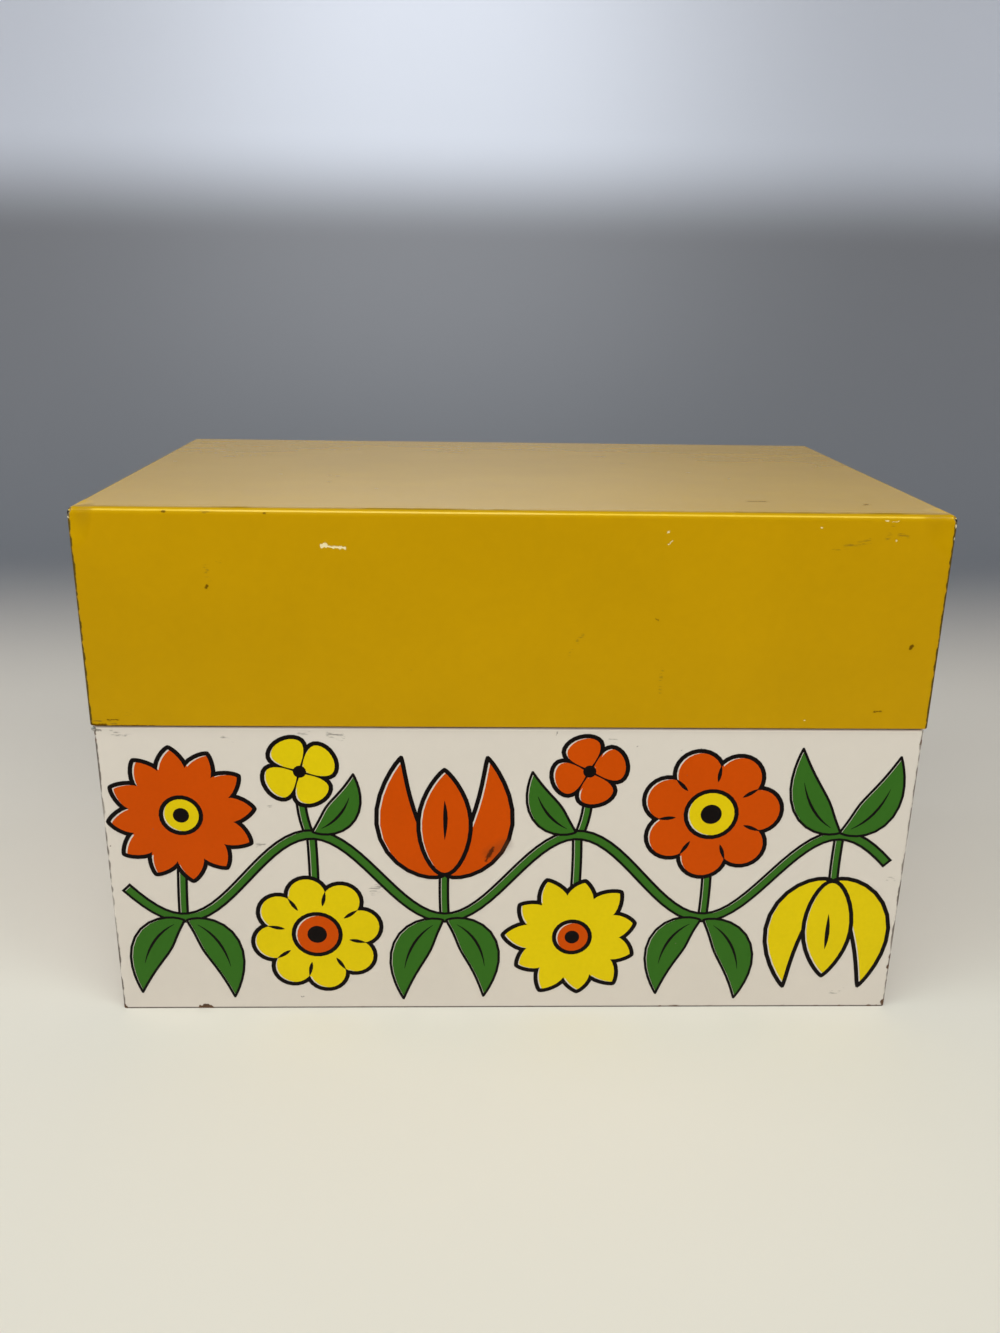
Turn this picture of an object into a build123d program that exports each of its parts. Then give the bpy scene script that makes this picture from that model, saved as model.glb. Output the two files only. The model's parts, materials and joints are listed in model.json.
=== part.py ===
from build123d import *

import os
from math import cos, radians, sin, sqrt

# Recipe card box for 3 x 5 inch cards: a sheet-steel base with a hinged lid.
# Millimetres. X is the width, the front faces -Y, +Z is up, and the origin is
# the middle of the closed box's footprint on the surface that it stands on.

# Driving dimensions
base_width = 139.7
base_depth = 84.0
seam_height = 55.0  # top of the front and side walls of the base
seam_gap = 0.25  # between the base's edge and the closed lid's edge
lid_height = 36.55
lid_overhang = 0.35  # lid past the base at the front and at both sides

sheet = 0.32  # steel sheet of every folded piece
corner_radius = 0.7  # outside of the vertical bends
top_fold_radius = 1.1  # outside of the fold round the lid's top
pinhole_radius = 0.35  # where three folds meet at the lid's top corners

base_hem = 7.0
lid_hem = 4.0
hem_round = 0.3  # each half of a hem's rolled edge
hem_corner_radius = 0.2

bottom_flange = 5.0
bottom_fold_radius = 0.5

lap_width = 8.0  # doubled sheet behind the wrap's seam
lap_clearance = 0.4  # between the lap and the bottom pan's flange
seam_line_width = 0.2
seam_line_depth = 0.24

lip_rise = 6.0  # above the base's edge
lip_drop = 6.0  # below the base's edge
lip_step = 0.6
lip_step_height = 1.0
lip_bend_radius = 3.0
lip_back_gap = 6.0

tab_length = 10.0  # corner tabs of the lid's side walls
tab_taper = 2.5
tab_clearance = 0.4

opening_angle = 105.0
stop_gap = 0.3  # left between the open lid's edge and the back wall

hinge_offset = 42.0  # centre of each hinge from the middle
hinge_width = 22.0
pin_radius = 0.6
pin_clearance = 0.08
pin_head_radius = 0.85
pin_head_length = 0.5
pin_head_round = 0.3
curl_opening_angle = 55.0  # between a curl's end and its leaf
lid_knuckle_width = 9.2
knuckle_gap = 0.3
leaf_reach = 11.0  # from the hinge axis to a leaf's free edge
leaf_corner_radius = 2.0
leaf_relief = 1.75  # from the axis to the edges that clear the other leaf
wall_window_gap = 0.3  # beside a hinge in the back wall
hem_window_gap = 1.2  # beside a hinge in the hems

weld_radius = 1.1
weld_depth = 0.08
leaf_weld_spacing = 12.0
leaf_weld_height = 7.0  # from the hinge axis
front_weld_spacing = 36.0
side_weld_spacing = 30.0
tab_weld_spacing = 16.0

# Worked out from the driving dimensions
lid_width = base_width + 2 * lid_overhang
lid_depth = base_depth + lid_overhang
front_y = -lid_depth / 2
back_y = lid_depth / 2
base_front_y = front_y + lid_overhang
base_centre_y = (base_front_y + back_y) / 2
lid_bottom = seam_height + seam_gap
lid_top = lid_bottom + lid_height
bend_inside = corner_radius - sheet
inner_back_y = back_y - sheet

# The hinge axis: a knuckle just touches the inside of the back wall, and the
# open lid's edge comes to the outside of the back wall.
bore_radius = pin_radius + pin_clearance
knuckle_radius = bore_radius + sheet
axis_inset = sheet + knuckle_radius
open_angle = radians(opening_angle)
axis_drop = (axis_inset * (1 - cos(open_angle)) + stop_gap) / sin(open_angle)
axis_y = back_y - axis_inset
axis_z = lid_bottom - axis_drop
roll_radius = axis_drop - seam_gap  # the lid's edge turns clear of this arc
outer_knuckle_width = (hinge_width - lid_knuckle_width) / 2 - knuckle_gap
outer_knuckle_offset = (hinge_width - outer_knuckle_width) / 2
hinge_places = {"left": -hinge_offset, "right": hinge_offset}


def add_wall(width, depth, centre_y, bottom_z, height, outer_radius, inner_radius):
    """Add a closed wall, one sheet thick, to the part being built."""
    with BuildSketch(Plane.XY.offset(bottom_z)) as outline:
        with Locations((0, centre_y)):
            RectangleRounded(width, depth, outer_radius)
            RectangleRounded(width - 2 * sheet, depth - 2 * sheet, inner_radius, mode=Mode.SUBTRACT)
    extrude(outline.sketch, amount=height)


def cut_hinge_windows(face_y, bottom_z, top_z, margin):
    """Cut the sheet in front of a face at face_y away round both hinges."""
    with BuildSketch(Plane.XZ.offset(-face_y)) as windows:
        with Locations(*[(hinge_x, bottom_z) for hinge_x in hinge_places.values()]):
            Rectangle(hinge_width + 2 * margin, top_z - bottom_z, align=(Align.CENTER, Align.MIN))
    extrude(windows.sketch, amount=sheet, mode=Mode.SUBTRACT)


def sink_welds(plane, places):
    """Sink the round marks of spot welds into a face of the part being built."""
    with BuildSketch(plane) as marks:
        with Locations(*places):
            Circle(weld_radius)
    extrude(marks.sketch, amount=-weld_depth, mode=Mode.SUBTRACT)


def add_leaf_flat(hinge_x, edge_z, relief_z):
    """Add the flat of a hinge leaf, against the inside of the back wall."""
    height = abs(relief_z - edge_z)
    with BuildSketch(Plane.XZ.offset(-inner_back_y)) as flat:
        with Locations((hinge_x, (edge_z + relief_z) / 2)):
            Rectangle(hinge_width, height)
        free_corners = flat.vertices().sort_by(lambda corner: abs(corner.Y - edge_z))[:2]
        fillet(free_corners, leaf_corner_radius)
    extrude(flat.sketch, amount=sheet)


def add_knuckle(centre_x, width, leaf_side):
    """Add a curl round the hinge axis and the tongue to its leaf: 1 is above, -1 below."""
    reach = 2 * knuckle_radius
    opening = radians(curl_opening_angle)
    end_z = leaf_side * reach * sin(opening)
    with BuildSketch(Plane.YZ.offset(centre_x)) as section:
        with Locations((axis_y, axis_z)):
            Circle(knuckle_radius)
            Circle(bore_radius, mode=Mode.SUBTRACT)
            Polygon(
                (0, 0), (reach * cos(opening), end_z), (reach, end_z), (reach, 0),
                align=None, mode=Mode.SUBTRACT,
            )
        with Locations((inner_back_y, axis_z + leaf_side * leaf_weld_height / 2)):
            Rectangle(sheet, leaf_weld_height, align=(Align.MAX, Align.CENTER))
    extrude(section.sketch, amount=width / 2, both=True)


# Base shell: one strip wrapped round four corners, its ends lapped at the back,
# with a hem folded inwards along the top.
with BuildPart() as base_shell:
    add_wall(base_width, base_depth, base_centre_y, 0, seam_height, corner_radius, bend_inside)
    add_wall(
        base_width - 2 * sheet, base_depth - 2 * sheet, base_centre_y,
        seam_height - base_hem, base_hem, bend_inside, hem_corner_radius,
    )
    fillet(base_shell.edges().group_by(Axis.Z)[-1], hem_round)

    # The lap's inner sheet, and the fine step outside where the outer sheet ends.
    with BuildSketch():
        with Locations((0, inner_back_y)):
            Rectangle(lap_width, sheet, align=(Align.CENTER, Align.MAX))
    extrude(amount=seam_height - base_hem)
    with BuildSketch():
        with Locations((lap_width / 2, back_y)):
            Rectangle(seam_line_width, seam_line_depth, align=(Align.CENTER, Align.MAX))
    extrude(amount=seam_height, mode=Mode.SUBTRACT)

    # The back's top edge follows an arc about the hinge axis.
    with BuildSketch(Plane.YZ):
        with Locations((axis_y, axis_z)):
            Rectangle(2 * roll_radius, 2 * roll_radius, align=(Align.MIN, Align.MIN))
            Circle(roll_radius, mode=Mode.SUBTRACT)
    extrude(amount=base_width, both=True, mode=Mode.SUBTRACT)

    cut_hinge_windows(back_y, axis_z - leaf_relief, seam_height, wall_window_gap)
    cut_hinge_windows(inner_back_y, seam_height - base_hem, seam_height, hem_window_gap)

# Base bottom: a shallow pan whose flanges stand inside the wrap's lower edge.
with BuildPart() as base_bottom:
    with BuildSketch():
        with Locations((0, base_centre_y)):
            RectangleRounded(base_width - 2 * sheet, base_depth - 2 * sheet, corner_radius)
    extrude(amount=bottom_flange)
    fillet(base_bottom.edges().group_by(Axis.Z)[0], bottom_fold_radius)
    offset(amount=-sheet, openings=base_bottom.faces().sort_by(Axis.Z)[-1])
    with BuildSketch():
        with Locations((0, inner_back_y)):
            Rectangle(lap_width + 2 * lap_clearance, 2 * (sheet + lap_clearance))
    extrude(amount=bottom_flange, mode=Mode.SUBTRACT)

# Inner lip: a stepped strip bent round inside the front and side walls and
# welded to the hem. The closed lid stands round it.
lip_inset = 2 * sheet + (sheet + lip_step) / 2
lip_x = base_width / 2 - lip_inset
lip_front_y = base_front_y + lip_inset
lip_back_y = back_y - lip_back_gap
lip_weld_inset = 3 * sheet  # wall, hem and lip
lip_weld_z = seam_height - (lip_drop + lip_step_height / 2) / 2
with BuildPart() as inner_lip:
    with BuildLine() as lip_path:
        FilletPolyline(
            (-lip_x, lip_back_y, seam_height),
            (-lip_x, lip_front_y, seam_height),
            (lip_x, lip_front_y, seam_height),
            (lip_x, lip_back_y, seam_height),
            radius=lip_bend_radius,
        )
    with BuildSketch(Plane(lip_path.line @ 0, x_dir=(1, 0, 0), z_dir=lip_path.line % 0)):
        with BuildLine():
            Polyline(
                (-lip_step / 2, -lip_drop),
                (-lip_step / 2, -lip_step_height / 2),
                (lip_step / 2, lip_step_height / 2),
                (lip_step / 2, lip_rise),
            )
        trace(line_width=sheet)
    sweep(path=lip_path.line)
    side_weld_y = side_weld_spacing / 2
    sink_welds(
        Plane.ZX.offset(base_front_y + lip_weld_inset),
        [(lip_weld_z, step * front_weld_spacing) for step in (-1.5, -0.5, 0.5, 1.5)],
    )
    sink_welds(
        Plane.YZ.offset(lip_weld_inset - base_width / 2),
        [(-side_weld_y, lip_weld_z), (side_weld_y, lip_weld_z)],
    )
    sink_welds(
        Plane.ZY.offset(lip_weld_inset - base_width / 2),
        [(lip_weld_z, -side_weld_y), (lip_weld_z, side_weld_y)],
    )

# Lid shell: one blank folded into a top and four walls, hemmed along the lower
# edge, with tabs of the side walls welded inside the front and the back.
lid_inner_x = lid_width / 2 - sheet
tab_bottom = lid_bottom + lid_hem + tab_clearance
tab_top = lid_top - top_fold_radius - tab_clearance
tab_middle = (tab_bottom + tab_top) / 2
pinhole_inset = top_fold_radius * (1 - 1 / sqrt(2)) + sheet / (2 * sqrt(3))
with BuildPart() as lid_shell:
    with BuildSketch(Plane.XY.offset(lid_bottom)):
        RectangleRounded(lid_width, lid_depth, corner_radius)
    extrude(amount=lid_height)
    fillet(lid_shell.edges().group_by(Axis.Z)[-1], top_fold_radius)
    offset(amount=-sheet, openings=lid_shell.faces().sort_by(Axis.Z)[0])
    add_wall(
        lid_width - 2 * sheet, lid_depth - 2 * sheet, 0,
        lid_bottom, lid_hem, bend_inside, hem_corner_radius,
    )
    fillet(lid_shell.edges().group_by(Axis.Z)[0], hem_round)
    cut_hinge_windows(inner_back_y, lid_bottom, lid_bottom + lid_hem, hem_window_gap)

    tab_corners = (
        (lid_inner_x, tab_bottom),
        (lid_inner_x - tab_length, tab_bottom + tab_taper),
        (lid_inner_x - tab_length, tab_top - tab_taper),
        (lid_inner_x, tab_top),
    )
    for face_y in (inner_back_y, front_y + 2 * sheet):
        with BuildSketch(Plane.XZ.offset(-face_y)) as tabs:
            Polygon(*tab_corners, align=None)
            mirror(about=Plane.YZ)
        extrude(tabs.sketch, amount=sheet)
    tab_weld_x = lid_inner_x - tab_length / 2
    tab_weld_z = (tab_middle - tab_weld_spacing / 2, tab_middle + tab_weld_spacing / 2)
    tab_welds = [(side * tab_weld_x, z) for side in (-1, 1) for z in tab_weld_z]
    sink_welds(Plane.XZ.offset(sheet - inner_back_y), tab_welds)
    sink_welds(Plane.ZX.offset(front_y + 2 * sheet), [(z, x) for x, z in tab_welds])

    with Locations((0, 0, lid_top - pinhole_inset)):
        with GridLocations(lid_width - 2 * pinhole_inset, lid_depth - 2 * pinhole_inset, 2, 2):
            Sphere(pinhole_radius, mode=Mode.SUBTRACT)

base_shell.part.label = "base_shell"
base_bottom.part.label = "base_bottom"
inner_lip.part.label = "inner_lip"
lid_shell.part.label = "lid_shell"
os.makedirs("parts", exist_ok=True)
export_step(base_shell.part, "parts/base_shell.step")
export_step(base_bottom.part, "parts/base_bottom.step")
export_step(inner_lip.part, "parts/inner_lip.step")
export_step(lid_shell.part, "parts/lid_shell.step")

# Hinges: a leaf with one knuckle on the lid, a leaf with two on the base, and
# a wire pin whose ends are peened over against the outer knuckles.
for side, hinge_x in hinge_places.items():
    with BuildPart() as hinge_leaf_base:
        add_leaf_flat(hinge_x, axis_z - leaf_reach, axis_z - leaf_relief)
        for offset_x in (-outer_knuckle_offset, outer_knuckle_offset):
            add_knuckle(hinge_x + offset_x, outer_knuckle_width, -1)
        sink_welds(
            Plane.XZ.offset(sheet - inner_back_y),
            [(hinge_x + step * leaf_weld_spacing, axis_z - leaf_weld_height) for step in (-0.5, 0.5)],
        )
    hinge_leaf_base.part.label = f"hinge_leaf_base_{side}"
    export_step(hinge_leaf_base.part, f"parts/hinge_leaf_base_{side}.step")

    with BuildPart() as hinge_leaf_lid:
        add_leaf_flat(hinge_x, axis_z + leaf_reach, axis_z + leaf_relief)
        add_knuckle(hinge_x, lid_knuckle_width, 1)
        sink_welds(
            Plane.XZ.offset(sheet - inner_back_y),
            [(hinge_x + step * leaf_weld_spacing, axis_z + leaf_weld_height) for step in (-0.5, 0.5)],
        )
    hinge_leaf_lid.part.label = f"hinge_leaf_lid_{side}"
    export_step(hinge_leaf_lid.part, f"parts/hinge_leaf_lid_{side}.step")

    with BuildPart() as hinge_pin:
        with BuildSketch(Plane.YZ.offset(hinge_x)):
            with Locations((axis_y, axis_z)):
                Circle(pin_radius)
        extrude(amount=hinge_width / 2, both=True)
        with BuildSketch(Plane.YZ.offset(hinge_x + hinge_width / 2)):
            with Locations((axis_y, axis_z)):
                Circle(pin_head_radius)
        extrude(amount=pin_head_length)
        fillet(hinge_pin.edges().group_by(Axis.X)[-1], pin_head_round)
        mirror(about=Plane.YZ.offset(hinge_x))
    hinge_pin.part.label = f"hinge_pin_{side}"
    export_step(hinge_pin.part, f"parts/hinge_pin_{side}.step")

print(f"hinge axis at y {axis_y:.3f}, z {axis_z:.3f}; lid top at z {lid_top:.2f}")
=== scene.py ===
"""The looks of a recipe card box: a cream base with a printed front under a yellow hinged lid."""
import json
from collections import namedtuple
from math import cos, pi, radians, sin

import bpy
import numpy as np
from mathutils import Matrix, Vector
from mathutils.geometry import delaunay_2d_cdt


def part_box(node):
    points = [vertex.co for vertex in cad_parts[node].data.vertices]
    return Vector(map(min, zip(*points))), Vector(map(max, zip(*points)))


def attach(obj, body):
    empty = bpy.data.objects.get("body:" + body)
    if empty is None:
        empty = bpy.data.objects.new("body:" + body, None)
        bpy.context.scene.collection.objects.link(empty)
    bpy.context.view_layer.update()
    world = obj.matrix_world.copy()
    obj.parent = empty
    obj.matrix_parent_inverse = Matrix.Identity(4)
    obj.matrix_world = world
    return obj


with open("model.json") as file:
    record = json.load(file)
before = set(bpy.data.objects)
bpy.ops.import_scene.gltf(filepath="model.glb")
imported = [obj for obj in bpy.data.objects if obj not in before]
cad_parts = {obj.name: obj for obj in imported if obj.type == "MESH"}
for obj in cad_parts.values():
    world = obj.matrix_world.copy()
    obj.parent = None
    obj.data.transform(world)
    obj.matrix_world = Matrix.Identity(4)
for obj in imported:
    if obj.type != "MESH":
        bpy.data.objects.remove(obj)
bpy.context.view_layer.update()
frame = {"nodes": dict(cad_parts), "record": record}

MM = 0.001


def box_mm(node):
    """A CAD node's lowest and highest corners, in millimetres."""
    low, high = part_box(node)
    return np.array(low) / MM, np.array(high) / MM


LID_LOW, LID_HIGH = box_mm("lid_shell")
BASE_LOW, BASE_HIGH = box_mm("base_shell")

# How deep the hem is that is turned inside, and so is painted too, in millimetres.
LID_HEM = 4.0
BASE_HEM = 7.0

# Colours, linear.
CREAM = (0.70, 0.64, 0.575)
YELLOW = (0.50, 0.27, 0.0)
INKS = {
    "black": (0.004, 0.003, 0.003),
    "orange": (0.58, 0.072, 0.002),
    "yellow": (0.74, 0.56, 0.005),
    "green": (0.034, 0.125, 0.014),
}


# ---------------------------------------------------------------- materials

class Surface:
    """One material being made. Each call adds nodes and returns the output, in millimetres at rest."""

    def __init__(self, name):
        self.material = bpy.data.materials.new(name)
        self.material.use_nodes = True
        self.tree = self.material.node_tree
        self.shader = self.tree.nodes["Principled BSDF"]
        coordinates = self.tree.nodes.new("ShaderNodeTexCoord")
        self.facing = coordinates.outputs["Normal"]
        self.place = self.vector("SCALE", coordinates.outputs["Object"], scale=1 / MM)
        split = self.node("ShaderNodeSeparateXYZ", {0: self.place})
        self.x, self.y, self.z = split.outputs
        self.front = self.node("ShaderNodeCombineXYZ", {0: self.x, 1: self.z}).outputs[0]
        self.top = self.node("ShaderNodeCombineXYZ", {0: self.x, 1: self.y}).outputs[0]

    def put(self, socket, value):
        """Links the socket to a node's output, or sets it to a constant."""
        if isinstance(value, bpy.types.NodeSocket):
            self.tree.links.new(value, socket)
        elif socket.type == "RGBA":
            socket.default_value = (*value, 1.0)
        else:
            socket.default_value = value

    def node(self, kind, inputs, **settings):
        """Adds a node of that kind, with its inputs and settings."""
        made = self.tree.nodes.new(kind)
        for setting, value in settings.items():
            setattr(made, setting, value)
        for key, value in inputs.items():
            self.put(made.inputs[key], value)
        return made

    def maths(self, operation, *values):
        """One sum on numbers."""
        inputs = dict(enumerate(values))
        return self.node("ShaderNodeMath", inputs, operation=operation).outputs[0]

    def vector(self, operation, *values, scale=None):
        """One sum on vectors."""
        made = self.node("ShaderNodeVectorMath", dict(enumerate(values)), operation=operation)
        if scale is not None:
            made.inputs["Scale"].default_value = scale
        return made.outputs["Value" if operation in ("LENGTH", "DISTANCE", "DOT_PRODUCT") else "Vector"]

    def ramp(self, value, low, high, to_low=0.0, to_high=1.0):
        """Goes smoothly from to_low at low to to_high at high."""
        inputs = {"Value": value, "From Min": low, "From Max": high, "To Min": to_low, "To Max": to_high}
        return self.node("ShaderNodeMapRange", inputs, interpolation_type="SMOOTHSTEP").outputs[0]

    def noise(self, size, detail=2.0, stretch=(1, 1, 1), offset=(0, 0, 0)):
        """A cloudy value about 0.5, with features of that size."""
        scale = tuple(1 / (size * s) for s in stretch)
        place = self.node("ShaderNodeMapping", {"Vector": self.place, "Location": offset, "Scale": scale})
        inputs = {"Vector": place.outputs[0], "Scale": 1.0, "Detail": detail}
        return self.node("ShaderNodeTexNoise", inputs).outputs[0]

    def specks(self, cell, radius, share, offset=(0, 0, 0)):
        """1 inside small ragged dots, about one to each cell, of which a share are there."""
        shifted = self.vector("ADD", self.place, offset)
        inputs = {"Vector": shifted, "Scale": 1 / cell, "Randomness": 1.0}
        cells = self.node("ShaderNodeTexVoronoi", inputs)
        chance = self.node("ShaderNodeSeparateColor", {0: cells.outputs["Color"]})
        there = self.maths("LESS_THAN", chance.outputs[0], share)
        reach = radius / cell
        size = self.maths("MULTIPLY_ADD", chance.outputs[1], reach, 0.4 * reach)
        ragged = self.maths("MULTIPLY_ADD", self.noise(radius, 1.0), 0.9 * reach, -0.45 * reach)
        distance = self.maths("ADD", cells.outputs["Distance"], ragged)
        edge = self.maths("SUBTRACT", size, distance)
        return self.maths("MULTIPLY", self.ramp(edge, 0.0, 0.12 * reach), there)

    def mix(self, factor, a, b):
        """Colour a where the factor is 0, and b where it is 1."""
        inputs = {0: factor, 6: a, 7: b}
        return self.node("ShaderNodeMix", inputs, data_type="RGBA").outputs[2]

    def blend(self, factor, a, b):
        """Number a where the factor is 0, and b where it is 1."""
        inputs = {0: factor, 2: a, 3: b}
        return self.node("ShaderNodeMix", inputs, data_type="FLOAT").outputs[0]

    def either(self, *masks):
        """The greatest of the masks."""
        total = masks[0]
        for mask in masks[1:]:
            total = self.maths("MAXIMUM", total, mask)
        return total

    def both(self, *masks):
        """The product of the masks."""
        total = masks[0]
        for mask in masks[1:]:
            total = self.maths("MULTIPLY", total, mask)
        return total

    def without(self, mask, hole):
        """The mask, cleared where the hole is 1."""
        return self.maths("MULTIPLY", mask, self.maths("SUBTRACT", 1.0, hole))

    def tinted(self, colour, value, amount):
        """The colour made lighter and darker by a value about 0.5."""
        level = self.maths("MULTIPLY_ADD", value, 2 * amount, 1 - amount)
        made = self.node("ShaderNodeVectorMath", {0: colour, "Scale": level}, operation="SCALE")
        return made.outputs[0]

    def wandering(self, place, scale, amount):
        """The place shifted about by up to half the amount, so that what is drawn there is ragged."""
        noise = self.node("ShaderNodeTexNoise", {"Vector": place, "Scale": scale, "Detail": 3.0})
        wander = self.vector("SUBTRACT", noise.outputs["Color"], (0.5, 0.5, 0.5))
        return self.vector("ADD", place, self.vector("SCALE", wander, scale=amount))

    def marks(self, rows, face, near, soft=0.12):
        """1 inside short rough strokes on a flat face, where near is 1.

        A row is the stroke's place across and up the face, its angle in degrees, length and width.
        """
        place = self.wandering(face, 2.2, 0.7)
        found = []
        for across, up, angle, length, width in rows:
            turned = {"Vector": place, "Location": (across, up, 0), "Rotation": (0, 0, radians(angle))}
            local = self.node("ShaderNodeMapping", turned, vector_type="TEXTURE").outputs[0]
            split = self.node("ShaderNodeSeparateXYZ", {0: local})
            along = self.maths("SUBTRACT", self.maths("ABSOLUTE", split.outputs[0]), length / 2)
            along = self.maths("MAXIMUM", along, 0.0)
            away = self.node("ShaderNodeCombineXYZ", {0: along, 1: split.outputs[1]}).outputs[0]
            edge = width / 2 + soft, max(width / 2 - soft, 0.0)
            found.append(self.ramp(self.vector("LENGTH", away), *edge))
        return self.both(self.either(*found), near)

    def spots(self, rows, soft=0.1):
        """1 inside small ragged spots; a row is x, y, z and radius."""
        place = self.wandering(self.place, 1.6, 0.9)
        found = []
        for x, y, z, radius in rows:
            distance = self.vector("DISTANCE", place, (x, y, z))
            found.append(self.ramp(distance, radius + soft, radius - soft))
        return self.either(*found)

    def scuffs(self, rows, face, near):
        """1 in the flecks of rubbed patches; the rows are as for marks."""
        fleck = self.ramp(self.noise(0.4, 4.0, stretch=(4.0, 1, 0.7)), 0.50, 0.62)
        return self.both(self.marks(rows, face, near, soft=0.35), fleck)

    def bump(self, height):
        """A bump from a height in millimetres."""
        return self.node("ShaderNodeBump", {"Strength": 1.0, "Distance": MM, "Height": height}).outputs[0]

    def finish(self, colour, roughness, metallic, normal, sheen=(1, 1, 1)):
        """Joins it all to the shader; sheen tints what the surface mirrors head on."""
        self.put(self.shader.inputs["Base Color"], colour)
        self.put(self.shader.inputs["Roughness"], roughness)
        self.put(self.shader.inputs["Metallic"], metallic)
        self.put(self.shader.inputs["Normal"], normal)
        self.put(self.shader.inputs["Specular Tint"], sheen)
        return self.material


def with_stains_and_painted_light(s, paint, wear_and_painted_light, stain_and_light_rows):
    """The paint under each stain and each painted shade or highlight in turn; a row is the name, its
    strength and its colour.
    """
    for name, strength, colour in stain_and_light_rows:
        paint = s.mix(s.both(wear_and_painted_light[name], strength), paint, colour)
    return paint


def heaviest(s, wear_and_painted_light, shares):
    """The greatest of the marks, each times its share."""
    return s.either(*[s.both(wear_and_painted_light[name], share) for name, share in shares.items()])


def front_wall(s, low):
    """1 on the front wall of the shell that has that lowest corner."""
    return s.ramp(s.y, low[1] + 1.8, low[1] + 1.2)


def dent(s, corner, stretch, depth):
    """A knocked corner: sunk by depth there and by nothing 7 mm away, or less along X by the stretch."""
    away = s.vector("SUBTRACT", s.place, corner)
    away = s.vector("LENGTH", s.vector("MULTIPLY", away, (stretch, 1.0, 1.0)))
    return s.ramp(away, 7.0, 1.0, 0.0, -depth)


def outside(s, centre):
    """1 on the faces that look away from a point inside the box, 0 on those that look into it."""
    away = s.vector("SUBTRACT", s.place, centre)
    return s.maths("GREATER_THAN", s.vector("DOT_PRODUCT", away, s.facing), 0.0)


def corner_depth(s, low, high):
    """How far in from the box's own upright corners, measured along both walls."""
    width, depth = high[0] - low[0], high[1] - low[1]
    along = s.maths("SUBTRACT", width / 2, s.maths("ABSOLUTE", s.x))
    across = s.maths("ABSOLUTE", s.maths("SUBTRACT", s.y, (high[1] + low[1]) / 2))
    return s.maths("ADD", along, s.maths("SUBTRACT", depth / 2, across))


def tin(s):
    """Bare tinplate: its colour, its roughness and where it is freckled."""
    cloud = s.noise(9.0, 3.0)
    rolled = s.noise(0.5, 3.0, stretch=(16, 1, 1))
    colour = s.tinted((0.52, 0.51, 0.485), cloud, 0.16)
    colour = s.tinted(colour, rolled, 0.10)
    freckles = s.specks(8.0, 0.26, 0.3)
    colour = s.mix(freckles, colour, (0.13, 0.075, 0.04))
    roughness = s.maths("MULTIPLY_ADD", rolled, 0.20, 0.26)
    roughness = s.maths("ADD", roughness, s.maths("MULTIPLY", freckles, 0.3))
    return colour, roughness, freckles


def enamel_height(s):
    """The ripple of thin enamelled sheet, in millimetres."""
    waves = s.maths("MULTIPLY", s.noise(34.0, 1.0), 0.10)
    peel = s.maths("MULTIPLY", s.noise(1.3, 1.0), 0.0016)
    return s.maths("ADD", waves, peel)


# Wear on the lid. A row of spots is x, y, z and radius. Any other row is a stroke's place across and
# up the face, its angle in degrees, its length and its width.
LID_PALE_MARKS = (
    (-28.6, 85.8, -3, 2.9, 0.36),
    (-30.5, 86.05, 15, 0.6, 0.66),
    (24.4, 87.0, 38, 0.9, 0.1),
    (24.0, 88.7, 10, 0.3, 0.12),
    (48.4, 89.7, 0, 0.15, 0.14),
    (49.0, 56.9, 0, 0.1, 0.12),
    (58.7, 90.8, 4, 0.5, 0.08),
    (60.1, 90.7, 0, 0.9, 0.04),
    (60.6, 87.7, 40, 0.25, 0.06),
)

LID_CORNER_SPOTS = (
    (70.0, -42.1, 88.1, 0.22),
    (70.0, -42.1, 90.0, 0.26),
    (69.7, -42.0, 91.6, 0.18),
    (-70.0, -42.1, 90.2, 0.28),
    (-69.7, -42.0, 91.6, 0.2),
)

LID_DARK_MARKS = (
    (-55.2, 91.2, 0, 0.3, 0.42),
    (-39.5, 91.1, 0, 0.2, 0.28),
    (-49.3, 79.2, 60, 0.3, 0.42),
    (-69.0, 55.5, 0, 3.2, 0.4),
    (-66.2, 56.4, 3, 1.8, 0.2),
    (-63.0, 55.35, 0, 7.0, 0.1),
    (65.4, 69.9, 50, 0.4, 0.62),
    (61.2, 58.5, 0, 1.2, 0.26),
    (23.0, 74.3, -15, 0.4, 0.16),
)

LID_SCUFFS = (
    (-49.4, 91.2, 0, 2.4, 0.5),
    (-49.1, 81.4, 95, 2.2, 0.6),
    (-47.1, 83.4, 0, 0.3, 0.5),
    (-64.0, 57.4, 16, 2.6, 0.5),
    (-68.0, 56.1, 0, 2.4, 0.7),
    (-67.5, 55.6, 0, 3.0, 0.3),
    (59.4, 89.0, 70, 1.8, 0.7),
    (61.7, 88.4, -20, 1.2, 0.6),
    (53.5, 86.8, 15, 6.0, 0.5),
    (24.3, 63.7, 88, 4.0, 0.3),
    (10.0, 70.0, 60, 4.0, 0.3),
)

LID_TOP_MARKS = (
    (-31.8, -9.2, 30, 0.5, 0.4),
    (-33.4, -8.4, 0, 0.3, 0.5),
    (-32.5, -15.9, 0, 0.5, 0.4),
    (-42.5, -7.7, 0, 0.2, 0.4),
    (-65.5, 7.0, 0, 0.3, 0.5),
    (-23.7, -22.3, 0, 0.2, 0.4),
    (34.6, -0.6, 0, 0.3, 0.4),
    (41.0, -7.6, 40, 0.3, 0.4),
    (40.5, -31.2, 0, 3.0, 0.5),
    (58.2, -33.4, 40, 0.9, 0.5),
)

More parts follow.
